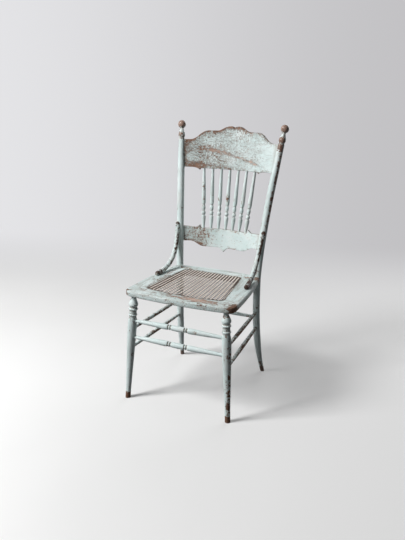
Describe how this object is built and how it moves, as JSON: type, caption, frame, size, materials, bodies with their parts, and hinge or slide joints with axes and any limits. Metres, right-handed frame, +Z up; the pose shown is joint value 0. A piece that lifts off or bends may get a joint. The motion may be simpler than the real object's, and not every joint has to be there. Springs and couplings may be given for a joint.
{
  "type": "peeling paint chair",
  "caption": "Weathered cane-seat dining chair with turned front legs, bent back posts with ball finials, a scalloped crest rail over spindles, and peeling pale green paint.",
  "frame": {"origin": "on the floor, under the middle of the chair's outline", "axes": "+Z up, -Y towards the front of the seat, +X to the right of someone who looks at the front"},
  "size_m": [0.481, 0.5659, 1.042],
  "materials": {
    "paint": "peeling matt paint over wood",
    "rail_paint": "crackled and rubbed paint over wood",
    "seat_paint": "rubbed matt paint over wood",
    "cane": "woven cane",
    "spline": "reed, dull",
    "bare_wood": "bare",
    "screws": "rusty"
  },
  "bodies": {
    "root": {"back_post_left": "paint", "back_post_right": "paint", "front_leg_left": "paint", "front_leg_right": "paint", "front_stretcher_upper": "paint", "front_stretcher_lower": "paint", "side_stretcher_left_upper": "paint", "side_stretcher_left_lower": "paint", "side_stretcher_right_upper": "paint", "side_stretcher_right_lower": "paint", "back_stretcher": "paint", "crest_rail": "rail_paint", "lower_back_rail": "rail_paint", "spindle_1": "paint", "spindle_2": "paint", "spindle_3": "paint", "spindle_4": "paint", "spindle_5": "paint", "spindle_6": "paint", "spindle_7": "paint", "seat_front_rail": "seat_paint", "seat_back_rail": "seat_paint", "seat_side_rail_left": "seat_paint", "seat_side_rail_right": "seat_paint", "front_dowel_left_1": "bare_wood", "front_dowel_left_2": "bare_wood", "back_dowel_left_1": "bare_wood", "back_dowel_left_2": "bare_wood", "front_dowel_right_1": "bare_wood", "front_dowel_right_2": "bare_wood", "back_dowel_right_1": "bare_wood", "back_dowel_right_2": "bare_wood", "cane_panel": "cane", "cane_spline": "spline", "hip_bracket_left": "paint", "bracket_screw_left_upper": "screws", "bracket_screw_left_lower": "screws", "post_screw_left": "screws", "hip_bracket_right": "paint", "bracket_screw_right_upper": "screws", "bracket_screw_right_lower": "screws", "post_screw_right": "screws"}
  },
  "joints": []
}
